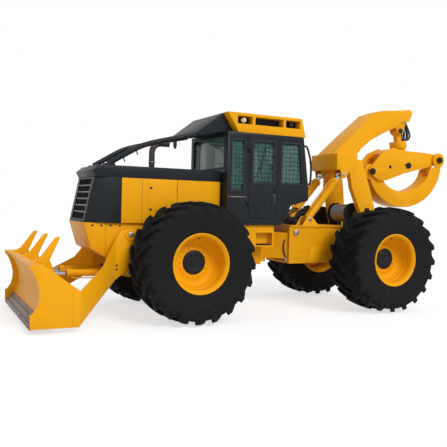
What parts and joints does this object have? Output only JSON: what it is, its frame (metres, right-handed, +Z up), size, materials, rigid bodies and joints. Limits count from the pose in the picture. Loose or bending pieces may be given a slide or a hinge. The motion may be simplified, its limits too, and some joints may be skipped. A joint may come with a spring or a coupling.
{
  "type": "articulated grapple skidder",
  "caption": "Articulated forestry tractor on four wheels with lugged tyres, with a front blade, an enclosed cab, a rear arch and a hanging log grapple.",
  "frame": {"origin": "on the ground below the middle of the wheelbase, which is also the middle of the length", "axes": "+X forwards, +Y the driver's left, +Z up"},
  "size_m": [8.6, 3.03, 3.86],
  "materials": {
    "yellow_paint": "gloss machine enamel",
    "dark_paint": "satin machine enamel",
    "tyre_rubber": "matt rubber",
    "worn_steel": "worn and rusted steel",
    "rod_chrome": "polished chrome",
    "glass": "tinted glass",
    "seat_cloth": "black woven cloth",
    "black_plastic": "moulded plastic"
  },
  "bodies": {
    "front_frame": {"cab_glass_front": "glass", "cab_glass_rear": "glass", "cab_roof": "yellow_paint", "cab_shell": "dark_paint", "canopy_guard": "dark_paint", "controls": "black_plastic", "engine_block": "worn_steel", "exhaust": "worn_steel", "front_axle": "yellow_paint", "front_frame": "yellow_paint", "grille": "dark_paint", "hood_side_left": "yellow_paint", "hood_side_right": "yellow_paint", "hood_top": "dark_paint", "nose": "yellow_paint", "seat": "seat_cloth"},
    "cab_door_left": {"cab_door_left": "dark_paint", "door_glass_left": "glass"},
    "cab_door_right": {"cab_door_right": "dark_paint", "door_glass_right": "glass"},
    "blade": {"blade": "yellow_paint", "cutting_edge": "worn_steel"},
    "rear_frame": {"rear_axle": "yellow_paint", "rear_frame": "yellow_paint", "winch": "dark_paint"},
    "arch": {"arch": "yellow_paint"},
    "hanger": {"hanger": "yellow_paint"},
    "grapple_head": {"grapple_head": "yellow_paint"},
    "tong_front": {"tong_front": "yellow_paint"},
    "tong_rear": {"tong_rear": "yellow_paint"},
    "wheel_front_left": {"rim_front_left": "yellow_paint", "tyre_front_left": "tyre_rubber"},
    "wheel_front_right": {"rim_front_right": "yellow_paint", "tyre_front_right": "tyre_rubber"},
    "wheel_rear_left": {"rim_rear_left": "yellow_paint", "tyre_rear_left": "tyre_rubber"},
    "wheel_rear_right": {"rim_rear_right": "yellow_paint", "tyre_rear_right": "tyre_rubber"},
    "blade_barrel_left": {"blade_cylinder_left_barrel": "yellow_paint"},
    "blade_rod_left": {"blade_cylinder_left_rod": "rod_chrome"},
    "blade_barrel_right": {"blade_cylinder_right_barrel": "yellow_paint"},
    "blade_rod_right": {"blade_cylinder_right_rod": "rod_chrome"},
    "arch_barrel_left": {"arch_cylinder_left_barrel": "yellow_paint"},
    "arch_rod_left": {"arch_cylinder_left_rod": "rod_chrome"},
    "arch_barrel_right": {"arch_cylinder_right_barrel": "yellow_paint"},
    "arch_rod_right": {"arch_cylinder_right_rod": "rod_chrome"}
  },
  "joints": [
    {"name": "articulation", "type": "hinge", "parent": "front_frame", "child": "rear_frame", "pos_m": [0.1, 0, 1.1], "axis": [0, 0, 1], "range_deg": [-45, 45]},
    {"name": "wheel_front_left_roll", "type": "hinge", "parent": "front_frame", "child": "wheel_front_left", "pos_m": [1.865, 1.13, 0.93496], "axis": [0, 1, 0], "continuous": true},
    {"name": "wheel_front_right_roll", "type": "hinge", "parent": "front_frame", "child": "wheel_front_right", "pos_m": [1.865, -1.13, 0.93496], "axis": [0, 1, 0], "continuous": true},
    {"name": "wheel_rear_left_roll", "type": "hinge", "parent": "rear_frame", "child": "wheel_rear_left", "pos_m": [-1.865, 1.13, 0.93496], "axis": [0, 1, 0], "continuous": true},
    {"name": "wheel_rear_right_roll", "type": "hinge", "parent": "rear_frame", "child": "wheel_rear_right", "pos_m": [-1.865, -1.13, 0.93496], "axis": [0, 1, 0], "continuous": true},
    {"name": "blade_lift", "type": "hinge", "parent": "front_frame", "child": "blade", "pos_m": [2.72, 0, 1.33], "axis": [0, -1, 0], "range_deg": [-8, 25]},
    {"name": "arch_swing", "type": "hinge", "parent": "rear_frame", "child": "arch", "pos_m": [-2.02, 0, 1.4], "axis": [0, -1, 0], "range_deg": [-5, 40]},
    {"name": "hanger_swing", "type": "hinge", "parent": "arch", "child": "hanger", "pos_m": [-3.11084, 0, 3.41921], "axis": [0, -1, 0], "range_deg": [-35, 15]},
    {"name": "grapple_turn", "type": "hinge", "parent": "hanger", "child": "grapple_head", "pos_m": [-3.17162, 0, 3.07453], "axis": [0.1736, 0, 0.9848], "continuous": true},
    {"name": "tong_front_open", "type": "hinge", "parent": "grapple_head", "child": "tong_front", "pos_m": [-2.31826, 0, 2.55851], "axis": [0, -1, 0], "range_deg": [0, 55]},
    {"name": "tong_rear_open", "type": "hinge", "parent": "grapple_head", "child": "tong_rear", "pos_m": [-4.15, 0, 2.88149], "axis": [0, 1, 0], "range_deg": [0, 55]},
    {"name": "cab_door_left_open", "type": "hinge", "parent": "front_frame", "child": "cab_door_left", "pos_m": [0.7125, 0.767, 2.3], "axis": [0, 0, -1], "range_deg": [0, 85]},
    {"name": "cab_door_right_open", "type": "hinge", "parent": "front_frame", "child": "cab_door_right", "pos_m": [0.7125, -0.767, 2.3], "axis": [0, 0, 1], "range_deg": [0, 85]},
    {"name": "blade_barrel_left_swing", "type": "hinge", "parent": "front_frame", "child": "blade_barrel_left", "pos_m": [2.62, 0.26, 0.7], "axis": [0, -1, 0], "range_deg": [-7.8, 22.4]},
    {"name": "blade_rod_left_slide", "type": "slide", "parent": "blade_barrel_left", "child": "blade_rod_left", "axis": [0.9999, 0, 0.0165], "range_m": [-0.09, 0.269]},
    {"name": "blade_barrel_right_swing", "type": "hinge", "parent": "front_frame", "child": "blade_barrel_right", "pos_m": [2.62, -0.26, 0.7], "axis": [0, -1, 0], "range_deg": [-7.8, 22.4]},
    {"name": "blade_rod_right_slide", "type": "slide", "parent": "blade_barrel_right", "child": "blade_rod_right", "axis": [0.9999, 0, 0.0165], "range_m": [-0.09, 0.269]},
    {"name": "arch_barrel_left_swing", "type": "hinge", "parent": "rear_frame", "child": "arch_barrel_left", "pos_m": [-0.76, 0.3, 1.6], "axis": [0, -1, 0], "range_deg": [-3.2, 18.6]},
    {"name": "arch_rod_left_slide", "type": "slide", "parent": "arch_barrel_left", "child": "arch_rod_left", "axis": [-0.6522, 0, 0.758], "range_m": [-0.091, 0.696]},
    {"name": "arch_barrel_right_swing", "type": "hinge", "parent": "rear_frame", "child": "arch_barrel_right", "pos_m": [-0.76, -0.3, 1.6], "axis": [0, -1, 0], "range_deg": [-3.2, 18.6]},
    {"name": "arch_rod_right_slide", "type": "slide", "parent": "arch_barrel_right", "child": "arch_rod_right", "axis": [-0.6522, 0, 0.758], "range_m": [-0.091, 0.696]}
  ],
  "couplings": [
    {"joint": "tong_rear_open", "follows": "tong_front_open", "ratio": 1},
    {"joint": "blade_barrel_left_swing", "follows": "blade_lift", "ratio": 0.8555},
    {"joint": "blade_rod_left_slide", "follows": "blade_lift", "m_per_rad": 0.6052},
    {"joint": "blade_barrel_right_swing", "follows": "blade_lift", "ratio": 0.8555},
    {"joint": "blade_rod_right_slide", "follows": "blade_lift", "m_per_rad": 0.6052},
    {"joint": "arch_barrel_left_swing", "follows": "arch_swing", "ratio": 0.441},
    {"joint": "arch_rod_left_slide", "follows": "arch_swing", "m_per_rad": 0.9897},
    {"joint": "arch_barrel_right_swing", "follows": "arch_swing", "ratio": 0.441},
    {"joint": "arch_rod_right_slide", "follows": "arch_swing", "m_per_rad": 0.9897}
  ]
}
